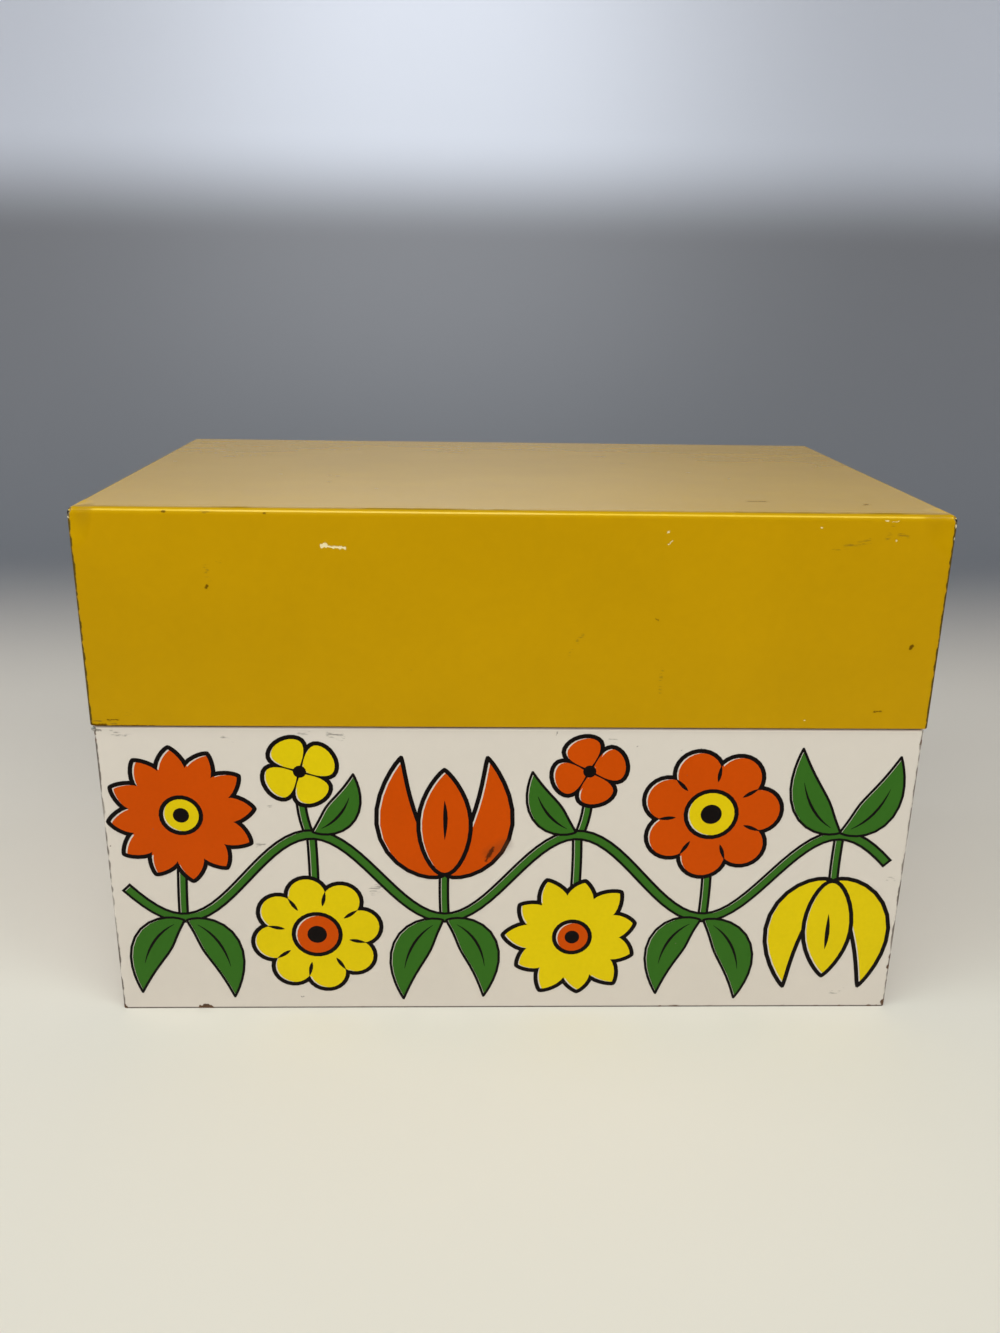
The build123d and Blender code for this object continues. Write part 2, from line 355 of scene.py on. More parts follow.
# A row is the name of a stain or of a painted shade, how strongly it shows and its colour.
LID_STAINS_AND_PAINTED_SHADE = (
    # line: the worn upright corners, darkened further as painted shade of the side walls seen edge on.
    ("line", 0.9, (0.05, 0.035, 0.008)),
    # rim: painted seam shade, a dark band along the lid's lower edge where it meets the base.
    ("rim", 0.7, (0.10, 0.06, 0.008)),
    # fold_shade: a painted dark line of shade on the top, just behind the front fold.
    ("fold_shade", 0.6, (0.16, 0.09, 0.012)),
    ("grime", 0.6, (0.16, 0.085, 0.01)),
    ("scuffed", 0.65, (0.18, 0.10, 0.012)),
    ("dark", 0.85, (0.09, 0.036, 0.002)),
    ("pale", 0.9, (0.89, 0.78, 0.48)),
)

# How much each worn or painted-shade mark roughens the paint, and how much of its reflection it takes
# away.
LID_ROUGHENED = {"line": 0.9, "dark": 0.35, "rim": 0.5, "fold_shade": 0.4, "grime": 1.0}
LID_DULLED = {"fold_shade": 1.0, "dark": 1.0, "line": 0.8, "scuffed": 0.4}


def lid_wear_and_painted_shade(s):
    """Where the lid's paint is worn, marked, dirty or glossed, and where shade is painted on it, by name.
    """
    edge_noise = s.maths("MULTIPLY_ADD", s.noise(1.1, 3.0), 0.55, -0.27)
    corner = s.maths("ADD", corner_depth(s, LID_LOW, LID_HIGH), edge_noise)
    from_top = s.maths("SUBTRACT", LID_HIGH[2], s.z)
    from_front = s.maths("SUBTRACT", s.y, LID_LOW[1])
    on_front = front_wall(s, LID_LOW)
    on_top = s.ramp(s.z, LID_HIGH[2] - 0.6, LID_HIGH[2] - 0.3)

    tip = s.maths("ADD", corner, s.maths("MULTIPLY", s.maths("ABSOLUTE", from_top), 0.8))
    chips = s.both(s.specks(9.0, 0.28, 0.35), s.ramp(s.maths("ADD", from_top, corner), 4.0, 1.5))
    ticks = s.marks(LID_PALE_MARKS, s.front, on_front, soft=0.07)
    front_marks = s.marks(LID_DARK_MARKS, s.front, on_front)
    top_marks = s.marks(LID_TOP_MARKS, s.top, on_top)
    # Painted shade: a broken dark line on the top, just behind the front fold.
    fold_shade = s.both(on_top, s.ramp(from_front, 0.6, 0.8), s.ramp(from_front, 1.9, 1.4))
    broken = s.ramp(s.noise(9.0, 3.0, offset=(2, 0, 1)), 0.4, 0.6, 0.45, 1.0)
    fold = s.both(s.ramp(from_front, 0.42, 0.28), s.ramp(from_top, 0.9, 0.7))
    rubbed = s.both(s.ramp(s.x, -56.0, -42.0), s.ramp(s.x, 12.0, 2.0))
    return {
        # Worn bare corners, and partly painted shade: the dark line also stands in for the shaded side
        # walls.
        "line": s.ramp(corner, 0.62, 0.48),
        # Painted seam shade along the lid's lower edge.
        "rim": s.ramp(s.z, LID_LOW[2] + 0.17, LID_LOW[2] + 0.05),
        "fold_shade": s.both(fold_shade, broken),
        "grime": s.specks(17.0, 0.2, 0.5, offset=(3, 5, 7)),
        "scuffed": s.scuffs(LID_SCUFFS, s.front, on_front),
        "dark": s.either(front_marks, top_marks),
        "pale": s.either(ticks, s.spots(LID_CORNER_SPOTS)),
        "worn": s.either(s.ramp(tip, 1.5, 1.2), chips),
        "polish": s.both(fold, s.ramp(rubbed, 0.0, 1.0, 0.15, 0.5)),
    }


def yellow_enamel():
    """Glossy yellow stove enamel outside and on the hem, bare tinplate inside."""
    s = Surface("yellow_enamel")
    wear_and_painted_light = lid_wear_and_painted_shade(s)
    hem = s.maths("LESS_THAN", s.z, LID_LOW[2] + LID_HEM + 0.1)
    painted = s.either(outside(s, (LID_LOW + LID_HIGH) / 2), hem)
    bare = s.maths("SUBTRACT", 1.0, painted)
    metal = s.either(bare, wear_and_painted_light["worn"])

    paint = s.tinted(YELLOW, s.noise(17.0, 3.0), 0.07)
    paint = s.tinted(paint, s.noise(1.6, 2.0), 0.035)
    paint = with_stains_and_painted_light(s, paint, wear_and_painted_light, LID_STAINS_AND_PAINTED_SHADE)
    metal_colour, metal_roughness, _ = tin(s)
    tip_colour = s.mix(wear_and_painted_light["worn"], metal_colour, (0.06, 0.055, 0.04))
    colour = s.mix(metal, paint, tip_colour)

    smears = s.noise(7.0, 3.0, stretch=(2.5, 1, 1))
    gloss = s.maths("MULTIPLY_ADD", smears, 0.10, 0.14)
    gloss = s.blend(heaviest(s, wear_and_painted_light, LID_ROUGHENED), gloss, 0.9)
    roughness = s.blend(metal, gloss, metal_roughness)

    chipped = s.maths("MULTIPLY", s.either(wear_and_painted_light["worn"], wear_and_painted_light["pale"]), -0.035)
    left_dent = dent(s, (LID_LOW[0], LID_LOW[1], LID_HIGH[2]), 1.6, 1.3)
    right_dent = dent(s, (LID_HIGH[0], LID_LOW[1], LID_HIGH[2]), 1.2, 0.8)
    dents = s.maths("ADD", left_dent, right_dent)
    height = s.maths("ADD", s.maths("ADD", enamel_height(s), chipped), dents)
    s.put(s.shader.inputs["Coat Weight"], wear_and_painted_light["polish"])
    s.put(s.shader.inputs["Coat Roughness"], 0.12)
    s.put(s.shader.inputs["Specular IOR Level"], s.blend(heaviest(s, wear_and_painted_light, LID_DULLED), 0.5, 0.0))
    s.put(s.shader.inputs["IOR"], 1.75)
    return s.finish(colour, roughness, metal, s.bump(height), (1.0, 0.74, 0.06))


# Wear on the base, in the same kinds of row.
BASE_RUST_SPOTS = (
    (-55.6, -41.8, 0.0, 0.65),
    (-54.9, -41.8, 0.1, 0.85),
    (-54.2, -41.8, 0.0, 0.6),
    (61.3, -41.8, -0.1, 0.4),
    (62.1, -41.8, -0.1, 0.3),
    (66.9, -41.8, -0.1, 0.5),
    (68.3, -41.8, -0.1, 0.3),
    (28.0, -41.8, -0.1, 0.3),
    (-69.7, -41.7, 0.2, 0.6),
    (-69.8, -41.7, 52.4, 0.35),
    (-69.8, -41.75, 53.75, 0.3),
    (69.8, -41.7, 52.7, 0.5),
    (69.8, -41.7, 10.6, 0.5),
    (69.8, -41.7, 8.4, 0.65),
    (69.8, -41.7, 5.4, 0.25),
    (69.7, -41.7, 0.9, 0.7),
)

BASE_DARK_MARKS = (
    (-69.2, 54.4, 0, 1.2, 0.4),
    (-37.3, 2.4, 0, 0.3, 0.2),
    (21.1, 51.8, 0, 0.1, 0.18),
    (28.7, 51.2, 0, 0.1, 0.16),
    (32.0, 51.5, 0, 0.1, 0.26),
    (46.0, 39.3, 0, 0.1, 0.22),
    (7.4, 54.2, 90, 0.6, 0.14),
)

BASE_SCUFFS = (
    (-66.2, 53.8, -30, 1.4, 1.0),
    (-64.2, 53.3, 0, 0.7, 0.5),
    (-47.8, 52.7, -25, 1.4, 0.5),
    (-35.0, 54.2, 0, 1.2, 0.7),
    (-29.7, 53.6, -15, 1.9, 1.1),
    (-40.7, 40.7, 5, 1.2, 0.5),
    (-43.1, 33.2, 8, 1.4, 0.5),
    (-35.7, 22.8, 5, 1.0, 0.4),
    (-12.8, 31.7, 90, 0.9, 0.5),
    (16.9, 52.9, 0, 0.8, 0.5),
    (28.0, 47.6, -20, 0.8, 0.4),
    (63.3, 38.6, 20, 0.7, 0.7),
    (67.7, 26.5, 0, 0.9, 0.6),
    (60.6, 3.4, 30, 2.0, 0.8),
    (-23.0, 24.8, 30, 2.6, 1.4),
)

PRINT_STREAK = (
    (-3.7, 31.4, 64, 2.8, 0.42),
    (-3.6, 31.6, 64, 1.3, 0.75),
)

PRINT_HAZE = (
    (-2.3, 32.4, 35, 3.2, 2.0),
)


def smudged(s, paint):
    """The paint with the one brown smudge on the print."""
    on_front = front_wall(s, BASE_LOW)
    haze = s.marks(PRINT_HAZE, s.front, on_front, soft=1.0)
    paint = s.mix(s.both(haze, 0.35), paint, (0.14, 0.045, 0.012))
    streak = s.marks(PRINT_STREAK, s.front, on_front, soft=0.2)
    return s.mix(s.both(streak, 0.9), paint, (0.045, 0.014, 0.004))


BASE_STAINS_AND_PAINTED_LIGHT = (
    # rim_highlight: a painted highlight, a light band along the base's top edge under the lid.
    ("rim_highlight", 0.5, (0.88, 0.82, 0.72)),
    # line: worn upright corners, and along the foot partly painted shade.
    ("line", 0.9, (0.06, 0.04, 0.028)),
    ("grime", 0.6, (0.20, 0.16, 0.12)),
    ("scuffed", 0.7, (0.20, 0.18, 0.16)),
    ("dark", 0.7, (0.14, 0.12, 0.10)),
)


def base_wear_and_painted_light(s):
    """Where the base's paint is worn, marked or dirty, and where a highlight and shade are painted on it,
    by name.
    """
    edge_noise = s.maths("MULTIPLY_ADD", s.noise(2.4, 5.0, offset=(9, 2, 4)), 0.7, -0.35)
    corner = s.maths("ADD", corner_depth(s, BASE_LOW, BASE_HIGH), edge_noise)
    rubbed = s.ramp(s.noise(14.0, 2.0, offset=(0, 3, 7)), 0.35, 0.6, 0.6, 1.0)
    corner_line = s.both(s.ramp(corner, 0.56, 0.42), rubbed)
    # Along the foot: partly a worn, dirty edge and partly painted shade of the gap under the box.
    foot_wear_and_shade = s.ramp(s.z, 0.34, 0.14)
    on_front = front_wall(s, BASE_LOW)

    chips = s.both(s.specks(3.6, 0.5, 0.5, offset=(1, 8, 2)), s.ramp(corner, 1.3, 0.8))
    worn_away = s.ramp(s.noise(5.0, 4.0, offset=(4, 0, 0)), 0.62, 0.72)
    foot = s.both(worn_away, s.ramp(s.z, 0.5, 0.2))
    return {
        # Painted highlight along the base's top edge, just under the lid.
        "rim_highlight": s.ramp(s.z, BASE_HIGH[2] - 0.5, BASE_HIGH[2] - 0.3),
        "line": s.either(corner_line, foot_wear_and_shade),
        "grime": s.specks(13.0, 0.16, 0.5, offset=(6, 1, 3)),
        "scuffed": s.scuffs(BASE_SCUFFS, s.front, on_front),
        "dark": s.marks(BASE_DARK_MARKS, s.front, on_front, soft=0.08),
        "worn": s.either(chips, foot, s.spots(BASE_RUST_SPOTS)),
    }


def cream_enamel():
    """Cream stove enamel outside and on the hem, bare tinplate inside."""
    s = Surface("cream_enamel")
    wear_and_painted_light = base_wear_and_painted_light(s)
    hem = s.maths("GREATER_THAN", s.z, BASE_HIGH[2] - BASE_HEM - 0.1)
    painted = s.either(outside(s, (BASE_LOW + BASE_HIGH) / 2), hem)
    bare = s.maths("SUBTRACT", 1.0, painted)

    paint = s.tinted(CREAM, s.noise(22.0, 3.0), 0.025)
    paint = s.tinted(paint, s.noise(2.2, 2.0), 0.015)
    paint = with_stains_and_painted_light(s, paint, wear_and_painted_light, BASE_STAINS_AND_PAINTED_LIGHT)
    paint = smudged(s, paint)
    metal_colour, metal_roughness, _ = tin(s)
    rusty = s.mix(s.noise(0.9, 3.0), (0.05, 0.028, 0.016), (0.17, 0.085, 0.045))
    colour = s.mix(bare, paint, metal_colour)
    colour = s.mix(wear_and_painted_light["worn"], colour, rusty)

    smears = s.noise(8.0, 3.0, stretch=(2.5, 1, 1))
    gloss = s.maths("MULTIPLY_ADD", smears, 0.12, 0.17)
    gloss = s.blend(s.either(wear_and_painted_light["dark"], wear_and_painted_light["line"]), gloss, 0.6)
    roughness = s.blend(bare, gloss, metal_roughness)
    roughness = s.blend(wear_and_painted_light["worn"], roughness, 0.7)
    metallic = s.without(bare, wear_and_painted_light["worn"])
    height = s.maths("ADD", enamel_height(s), s.maths("MULTIPLY", wear_and_painted_light["worn"], -0.04))
    return s.finish(colour, roughness, metallic, s.bump(height), (0.6, 0.55, 0.5))


def ink(name, colour):
    """Litho ink under the base's clear varnish."""
    s = Surface(name)
    body = s.tinted(colour, s.noise(11.0, 3.0), 0.06)
    body = s.tinted(body, s.noise(0.7, 2.0), 0.04)
    rubbed = s.specks(6.0, 0.13, 0.45, offset=(2, 4, 9))
    body = s.mix(s.both(rubbed, 0.5), body, (0.14, 0.11, 0.07))
    body = smudged(s, body)
    gloss = s.maths("MULTIPLY_ADD", s.noise(8.0, 3.0, stretch=(2.5, 1, 1)), 0.12, 0.17)
    strongest = max(colour)
    gleam = 0.12 if strongest < 0.01 else 0.6
    sheen = tuple(gleam * value / strongest for value in colour)
    return s.finish(body, gloss, 0.0, s.bump(enamel_height(s)), sheen)


def tinplate():
    """Bare tinplate all over, for the lip and the bottom pan."""
    s = Surface("tinplate")
    colour, roughness, freckles = tin(s)
    height = s.maths("MULTIPLY", s.noise(30.0, 1.0), 0.08)
    metallic = s.maths("SUBTRACT", 1.0, s.both(freckles, 0.8))
    return s.finish(colour, roughness, metallic, s.bump(height))


def hinge_steel():
    """Stamped hinge steel, dull with handling."""
    s = Surface("hinge_steel")
    cloud = s.noise(2.6, 4.0)
    colour = s.tinted((0.36, 0.345, 0.32), cloud, 0.3)
    tarnish = s.ramp(s.noise(1.1, 3.0, offset=(5, 5, 1)), 0.55, 0.72)
    colour = s.mix(s.both(tarnish, 0.6), colour, (0.10, 0.07, 0.045))
    scratches = s.noise(0.25, 2.0, stretch=(1, 1, 12))
    roughness = s.maths("MULTIPLY_ADD", scratches, 0.25, 0.28)
    height = s.maths("MULTIPLY", scratches, 0.006)
    return s.finish(colour, roughness, 1.0, s.bump(height))


def pin_wire():
    """Drawn steel wire, its fine grooves along the pin."""
    s = Surface("pin_wire")
    drawn = s.noise(0.12, 2.0, stretch=(30, 1, 1))
    colour = s.tinted((0.30, 0.29, 0.275), s.noise(1.4, 3.0), 0.25)
    roughness = s.maths("MULTIPLY_ADD", drawn, 0.2, 0.25)
    return s.finish(colour, roughness, 1.0, s.bump(s.maths("MULTIPLY", drawn, 0.004)))


MATERIALS = {
    "cream_enamel": cream_enamel(),
    "yellow_enamel": yellow_enamel(),
    "tinplate": tinplate(),
    "hinge_steel": hinge_steel(),
    "pin_wire": pin_wire(),
}

for part in frame["record"]["subparts"]:
    mesh = frame["nodes"][part["node"]].data
    mesh.materials.clear()
    mesh.materials.append(MATERIALS[part["material_slot"]])


# ---------------------------------------------------------------- the printed front

BOLD = 0.75  # keyline round the flowers
FINE = 0.45  # keyline round the stems and leaves
WAVE_LENGTH = 46.0
WAVE_HEIGHT = 8.2
VINE_LEVEL = 27.0

# How far each ink is out of register, across and up, in widths of its keyline.
SHIFTS = {"orange": (0.56, -0.30), "yellow": (0.50, 0.26), "green": (0.46, -0.20)}

# One printed form: its ink, the outlines that hold it, and its keyline's width, or 0 for none.
Element = namedtuple("Element", "ink outlines line")


def new_object(name, points, faces, smooth=False):
    """A mesh object in the scene, from points in metres."""
    mesh = bpy.data.meshes.new(name)
    mesh.from_pydata(points, [], faces)
    mesh.polygons.foreach_set("use_smooth", [smooth] * len(faces))
    made = bpy.data.objects.new(name, mesh)
    bpy.context.scene.collection.objects.link(made)
    return made


def anticlockwise(points):
    """The outline, turned round if it goes clockwise."""
    x, y = points.T
    area = np.sum(x * np.roll(y, -1) - np.roll(x, -1) * y)
    return points if area > 0 else points[::-1]


def around(u, v, radius, angle):
    """The point at that distance and angle from u, v."""
    return (u + radius * cos(angle), v + radius * sin(angle))


def disc(u, v, radius, steps=26):
    """A round outline."""
    angles = np.arange(steps) * 2 * pi / steps
    return np.column_stack((u + radius * np.cos(angles), v + radius * np.sin(angles)))


def band(line, half):
    """The closed outline of a stroke along line, with half its width at each point."""
    along = np.gradient(line, axis=0)
    along /= np.linalg.norm(along, axis=1)[:, None]
    across = np.column_stack((-along[:, 1], along[:, 0])) * np.reshape(half, (-1, 1))
    return anticlockwise(np.vstack((line - across, (line + across)[::-1])))


def curve(start, bend, end, t):
    """Points at the shares t of a line from start to end, drawn towards bend."""
    start, bend, end = (np.array(point, float) for point in (start, bend, end))
    t = np.reshape(t, (-1, 1))
    return (1 - t) ** 2 * start + 2 * t * (1 - t) * bend + t ** 2 * end


def blade(start, bend, end, width, peak=0.5, root=0.8, tip=0.9, steps=17):
    """A leaf or petal, widest at peak of its length; an end of 0.5 is round, and one of 1 is pointed."""
    t = (1 - np.cos(np.linspace(0, pi, steps))) / 2
    rise = np.where(t < peak, t / peak, (1 - t) / (1 - peak))
    half = width / 2 * np.sin(pi / 2 * rise) ** np.where(t < peak, root, tip)
    return band(curve(start, bend, end, t), np.maximum(half, 0.01))


def grown(points, amount):
    """The outline moved outwards by amount, with its corners kept sharp up to a limit."""
    def normal(edge):
        """The edges' outward directions, all of length 1."""
        edge = edge / np.maximum(np.linalg.norm(edge, axis=1), 1e-9)[:, None]
        return np.column_stack((edge[:, 1], -edge[:, 0]))
    total = normal(points - np.roll(points, 1, axis=0)) + normal(np.roll(points, -1, axis=0) - points)
    length = np.maximum(np.linalg.norm(total, axis=1), 1e-6)
    mitre = np.minimum(2 / length, 1.5) * amount / length
    return points + total * mitre[:, None]


def daisy(u, v, radius, petals, colour, hub_colour, turn):
    """A round flower of pointed petals."""
    width = 1.35 * radius * 0.62 * 2 * sin(pi / petals)
    rays = []
    for k in range(petals):
        a = turn + k * 2 * pi / petals
        reach = radius * (1 + 0.04 * sin(3.1 * k + u))
        foot, side = around(u, v, radius * 0.1, a), around(u, v, radius * 0.55, a + 0.06)
        rays.append(blade(foot, side, around(u, v, reach, a), width, peak=0.6, root=0.75, tip=0.72))
    yield Element(colour, rays + [disc(u, v, radius * 0.36)], BOLD)
    yield Element(hub_colour, [disc(u, v, radius * 0.27)], BOLD)
    yield Element("black", [disc(u, v, radius * 0.11, 18)], 0)


def rosette(u, v, radius, scallops, colour, eye_colour, turn):
    """A round flower with a scalloped edge and a ringed eye."""
    spread = 1.22 * sin(pi / scallops)
    lobe = radius * spread / (1 + spread)
    ring = radius - lobe
    angles = [turn + k * 2 * pi / scallops for k in range(scallops)]
    lobes = [disc(*around(u, v, ring, a), lobe) for a in angles]
    yield Element(colour, lobes + [disc(u, v, ring)], BOLD)
    for a in angles:
        a += pi / scallops
        ends = (around(u, v, radius * share, a) for share in (0.5, 0.6, 0.76))
        yield Element("black", [blade(*ends, 0.7, steps=7)], 0)
    yield Element(eye_colour, [disc(u, v, radius * 0.36)], BOLD)
    yield Element("black", [disc(u, v, radius * 0.15, 20)], 0)


def tulip(u, v, width, height, colour, up=1):
    """Three petals in a cup; up is -1 where it hangs."""
    w = width / 1.4
    rise = up * height
    for side in (-1, 1):
        bend, tip = (u + side * 0.8 * w, v - 0.28 * rise), (u + side * 0.5 * w, v + 0.5 * rise)
        yield Element(colour, [blade((u, v - 0.5 * rise), bend, tip, 0.5 * w, root=0.5, tip=0.8)], BOLD)
    foot, tip = (u, v - 0.51 * rise), (u, v + 0.4 * rise)
    yield Element(colour, [blade(foot, (u, v), tip, 0.62 * w, peak=0.45, root=0.5, tip=0.8)], BOLD)
    foot, tip = (u, v - 0.2 * rise), (u, v + 0.14 * rise)
    yield Element("black", [blade(foot, (u + 0.3, v), tip, 0.8, steps=9)], 0)


def blossom(u, v, radius, colour, turn):
    """A small flower of four broad petals."""
    petals = []
    for k in range(4):
        a = turn + k * pi / 2
        ends = (u, v), around(u, v, radius * 0.5, a), around(u, v, radius, a)
        petals.append(blade(*ends, radius * 1.02, peak=0.66, root=0.9, tip=0.45, steps=15))
    yield Element(colour, petals, BOLD)
    yield Element("black", [disc(u, v, radius * 0.17, 16)], 0)


def vine():
    """The stem that waves along the whole panel."""
    u = np.linspace(-67.0, 66.5, 90)
    v = VINE_LEVEL + WAVE_HEIGHT * np.sin(2 * pi * u / WAVE_LENGTH)
    yield Element("green", [band(np.column_stack((u, v)), 0.82)], FINE)


def stalk(top, bend, foot):
    """A stem that holds one flower or joins it to the vine."""
    yield Element("green", [band(curve(top, bend, foot, np.linspace(0, 1, 7)), 0.72)], FINE)


def leaf(start, bend, end, width):
    """A lance leaf with a rib down its middle."""
    yield Element("green", [blade(start, bend, end, width, peak=0.46)], FINE)
    rib = curve(start, bend, end, np.linspace(0.12, 0.72, 9))
    yield Element("black", [band(rib, 0.24 * np.sin(np.linspace(0.15, pi - 0.15, 9)))], 0)


STALKS = (
    ((-56.8, 32.0), (-57.4, 25.0), (-57.5, 18.8)),
    ((-11.5, 30.0), (-11.8, 24.0), (-11.5, 18.8)),
    ((34.5, 32.0), (34.9, 25.0), (34.5, 18.8)),
    ((-34.4, 22.0), (-34.2, 29.0), (-34.5, 35.2)),
    ((11.4, 22.0), (11.8, 29.0), (11.5, 35.2)),
    ((57.4, 24.0), (57.2, 30.0), (57.5, 35.2)),
    ((-36.0, 44.0), (-36.2, 39.0), (-34.8, 35.2)),
    ((13.2, 44.0), (13.3, 39.0), (11.8, 35.2)),
)

LEAVES = (
    ((-57.5, 18.3), (-65.5, 15.5), (-66.0, 3.5), 6.6),
    ((-57.0, 18.3), (-49.0, 15.0), (-49.5, 2.5), 6.6),
    ((-11.8, 18.3), (-19.8, 14.5), (-19.0, 2.0), 6.6),
    ((-11.2, 18.3), (-2.8, 15.0), (-4.5, 2.5), 6.6),
    ((34.2, 18.3), (26.0, 15.5), (27.0, 3.0), 6.6),
    ((34.8, 18.3), (43.2, 14.0), (41.5, 2.0), 6.6),
    ((57.5, 35.7), (65.5, 38.0), (66.5, 50.0), 6.4),
    ((57.5, 35.7), (49.8, 39.0), (49.5, 51.5), 6.2),
    ((-34.2, 35.7), (-27.5, 38.0), (-27.0, 46.5), 5.4),
    ((11.2, 35.7), (4.5, 38.0), (3.5, 47.0), 5.4),
)


def frieze():
    """The whole print, from the back to the front, in millimetres across and up the panel."""
    drawn = [stalk(*row) for row in STALKS] + [vine()] + [leaf(*row) for row in LEAVES]
    drawn += [
        daisy(-56.5, 38.8, 12.6, 12, "orange", "yellow", 0.1),
        rosette(-34.2, 15.4, 11.6, 8, "yellow", "orange", 0.2),
        tulip(-11.5, 38.6, 20.5, 22.0, "orange"),
        daisy(11.3, 14.8, 12.0, 11, "yellow", "orange", 0.25),
        rosette(34.6, 39.2, 12.3, 7, "orange", "yellow", 0.1),
        tulip(57.3, 15.2, 19.5, 21.5, "yellow", up=-1),
        blossom(-36.0, 47.0, 6.6, "yellow", 0.5),
        blossom(13.2, 47.2, 6.6, "orange", 0.3),
    ]
    return [element for motif in drawn for element in motif]


def layers(element):
    """What the element paints, in order: an ink or bare panel, and the outlines that hold it."""
    if element.line == 0:
        return [(element.ink, element.outlines)]
    half = element.line / 2
    shift = np.array(SHIFTS[element.ink]) * element.line
    key = [grown(outline, half) for outline in element.outlines]
    window = [grown(outline, -half) for outline in element.outlines]
    fill = [grown(outline, -0.27 * element.line) + shift for outline in element.outlines]
    return [("black", key), (None, window), (element.ink, fill)]


def inside(points, outline):
    """Which of the points the outline goes round anticlockwise."""
    found = np.zeros(len(points), bool)
    near = np.flatnonzero(np.all((points > outline.min(0)) & (points < outline.max(0)), axis=1))
    x, y = points[near, 0][:, None], points[near, 1][:, None]
    ax, ay = outline.T
    bx, by = np.roll(outline, -1, axis=0).T
    right = (bx - ax) * (y - ay) - (x - ax) * (by - ay)
    turns = ((ay <= y) & (by > y) & (right > 0)).sum(1) - ((ay > y) & (by <= y) & (right < 0)).sum(1)
    found[near[turns > 0]] = True
    return found


def inked_triangles(elements):
    """Cuts the print into triangles and gives the points, the triangles and each one's ink."""
    points, edges = [], []
    painted = [layers(element) for element in elements]
    for _, outlines in (layer for element in painted for layer in element):
        for outline in outlines:
            first, count = len(points), len(outline)
            points += [Vector(point) for point in outline]
            edges += [(first + k, first + (k + 1) % count) for k in range(count)]
    cut = delaunay_2d_cdt(points, edges, [], 0, 1e-4, False)
    points, triangles = np.array([tuple(point) for point in cut[0]]), np.array(cut[2])
    middles = points[triangles].mean(1)
    inks = np.full(len(triangles), "", dtype="U8")
    for element in painted:
        covered = [np.any([inside(middles, line) for line in outlines], axis=0) for _, outlines in element]
        inks[covered[0]] = element[0][0]
        if len(element) > 1:
            inks[covered[1]] = ""
            inks[covered[1] & covered[2]] = element[2][0]
    return points, triangles, inks


def slab(name, points, triangles, front, back):
    """A thin closed slab, flat on the panel, from triangles in its plane."""
    used, triangles = np.unique(triangles, return_inverse=True)
    triangles = triangles.reshape(-1, 3)
    flat = points[used]
    count = len(flat)
    levels = [np.column_stack((flat[:, 0], np.full(count, y), flat[:, 1])) for y in (front, back)]
    edges = {(a, b) for t in triangles.tolist() for a, b in zip(t, t[1:] + t[:1])}
    rim = [(a, b) for a, b in sorted(edges) if (b, a) not in edges]
    faces = triangles.tolist() + (triangles[:, ::-1] + count).tolist()
    faces += [(b, a, a + count, b + count) for a, b in rim]
    return new_object(name, (np.vstack(levels) * MM).tolist(), faces)


def print_front():
    """One slab to each ink, a hair proud of the panel and rooted in it."""
    panel = BASE_LOW[1]
    points, triangles, inks = inked_triangles(frieze())
    for colour in INKS:
        proud = 0.05 if colour == "black" else 0.04
        made = slab("print_" + colour, points, triangles[inks == colour], panel - proud, panel + 0.05)
        made.data.materials.append(ink("ink_" + colour, INKS[colour]))
        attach(made, "base")


print_front()


# ---------------------------------------------------------------- small fittings

BURR_SPAN = (54.15, 55.05)
BURR_STATIONS = 7
BURR_SIDES = 10


def burr():
    """The bright burr that sticks out at the base's upper left front corner."""
    low, high = BURR_SPAN
    points = []
    for k in range(BURR_STATIONS):
        along = (k + 0.5) / BURR_STATIONS
        swell = sin(pi * along)
        centre = (-69.66 - 0.09 * swell, -41.68 - 0.10 * swell)
        radius = 0.10 + 0.26 * swell
        for turn in range(BURR_SIDES):
            angle = 2 * pi * turn / BURR_SIDES
            reach = radius * (1 + 0.18 * sin(3 * angle + 2 * along))
            x, y = centre[0] + reach * cos(angle), centre[1] + 0.7 * reach * sin(angle)
            points.append((x * MM, y * MM, (low + (high - low) * along) * MM))
    ring = list(range(BURR_SIDES))
    after = ring[1:] + ring[:1]
    faces = [tuple(reversed(ring))]
    for first in range(0, BURR_SIDES * (BURR_STATIONS - 1), BURR_SIDES):
        above = first + BURR_SIDES
        faces += [(first + a, first + b, above + b, above + a) for a, b in zip(ring, after)]
    faces.append(tuple(BURR_SIDES * (BURR_STATIONS - 1) + a for a in ring))
    piece = new_object("hem_burr", points, faces, smooth=True)
    piece.data.materials.append(MATERIALS["tinplate"])
    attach(piece, "base")


burr()


# ---------------------------------------------------------------- stage, lights and camera

FLOOR = (0.76, 0.69, 0.63)
WALL_PAINTED_SHADE = (0.26, 0.27, 0.295)
WALL_HIGH = (0.74, 0.79, 0.89)
SKY = (0.90, 0.93, 1.0)


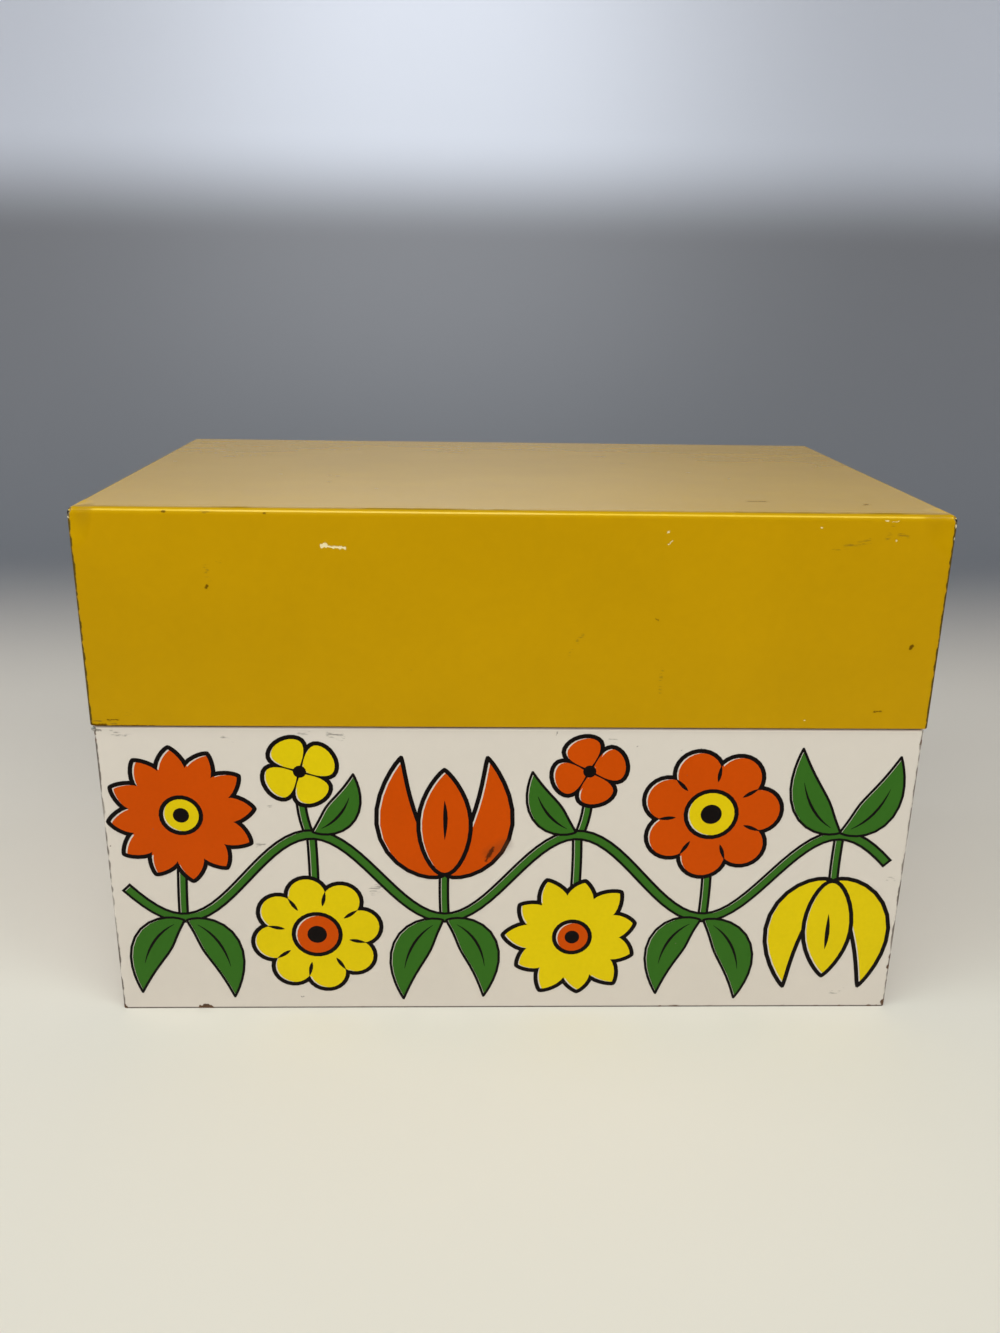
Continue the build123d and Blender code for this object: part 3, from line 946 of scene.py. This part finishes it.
def backdrop():
    """A pale sweep: a floor that curves up into a wall behind the box, with a band of painted shade
    between them.
    """
    wall, fold, top, reach = 0.52, 0.22, 0.62, 8.0
    bend = [(wall - fold + fold * sin(a), fold - fold * cos(a)) for a in np.linspace(0, pi / 2, 24)]
    profile = [(-reach, 0.0)] + bend + [(wall, top)]
    points = [(x, y, z) for x in (-reach, reach) for y, z in profile]
    count = len(profile)
    faces = [(k, k + count, k + count + 1, k + 1) for k in range(count - 1)]
    sweep = new_object("sweep", points, faces, smooth=True)
    s = Surface("pale_sweep")
    # Painted shade: the floor darkens behind the box into the foot of the wall, then the wall pales
    # upwards.
    colour = s.mix(s.ramp(s.y, 110.0, 330.0), FLOOR, WALL_PAINTED_SHADE)
    colour = s.mix(s.ramp(s.z, 152.0, 216.0), colour, WALL_HIGH)
    colour = s.tinted(colour, s.noise(180.0, 2.0), 0.02)
    grain = s.bump(s.maths("MULTIPLY", s.noise(3.0, 3.0), 0.01))
    sweep.data.materials.append(s.finish(colour, 0.9, 0.0, grain))


def place_light(data, place, target, mirrored=False):
    """Aims a light; the camera doesn't see it, nor does the box's gloss unless it is mirrored."""
    made = bpy.data.objects.new(data.name, data)
    made.location = place
    made.rotation_euler = (Vector(target) - Vector(place)).to_track_quat("-Z", "Y").to_euler()
    made.visible_camera = False
    made.visible_glossy = mirrored
    bpy.context.scene.collection.objects.link(made)


def lamp(name, place, target, size, watts, colour=(1, 1, 1), mirrored=False):
    """A lamp with an oblong face."""
    data = bpy.data.lights.new(name, "AREA")
    data.shape = "RECTANGLE"
    data.size, data.size_y = size
    data.energy = watts
    data.color = colour
    place_light(data, place, target, mirrored)


def spot(name, place, target, cone, watts):
    """A soft-edged spotlight."""
    data = bpy.data.lights.new(name, "SPOT")
    data.energy = watts
    data.spot_size = radians(cone)
    data.spot_blend = 1.0
    data.shadow_soft_size = 0.1
    place_light(data, place, target)


def world_light(strength):
    """An even, slightly cool light from all round."""
    world = bpy.data.worlds.new("studio")
    world.use_nodes = True
    background = world.node_tree.nodes["Background"]
    background.inputs["Color"].default_value = (*SKY, 1.0)
    background.inputs["Strength"].default_value = strength
    bpy.context.scene.world = world


CAMERA_PLACE = (-0.00755, -0.21463, 0.1244)
CAMERA_TURN = (71.324, -0.841, -1.436)
CAMERA_LENS = 29.97


def photo_camera():
    """The photograph's own view: 1000 by 1333 pixels, with the long side's field of view."""
    data = bpy.data.cameras.new("camera")
    data.sensor_width = 36.0
    data.lens = CAMERA_LENS
    data.clip_start = 0.01
    made = bpy.data.objects.new("camera", data)
    made.location = CAMERA_PLACE
    made.rotation_euler = [radians(angle) for angle in CAMERA_TURN]
    bpy.context.scene.collection.objects.link(made)
    bpy.context.scene.camera = made


backdrop()
lamp("key", (-0.01, -0.14, 0.31), (0, -0.05, 0.08), (0.44, 0.13), 0.84, (0.87, 1.0, 0.92), mirrored=True)
lamp("fill", (0.0, -1.00, 0.40), (0, 0, 0.05), (1.0, 0.7), 3.8, (1.0, 0.92, 0.89))
lamp("left", (-0.90, 0.0, 0.22), (0, 0, 0.05), (0.4, 0.3), 2.6)
lamp("right", (0.90, 0.10, 0.22), (0, 0, 0.05), (0.6, 0.3), 1.6)
spot("back", (0.0, 0.46, 0.17), (0, 0.04, 0.045), 36, 2.0)
spot("wash", (-0.03, 0.05, 0.65), (-0.03, 0.52, 0.25), 42, 8.0)
world_light(0.18)
photo_camera()
bpy.context.scene.view_settings.view_transform = "Standard"
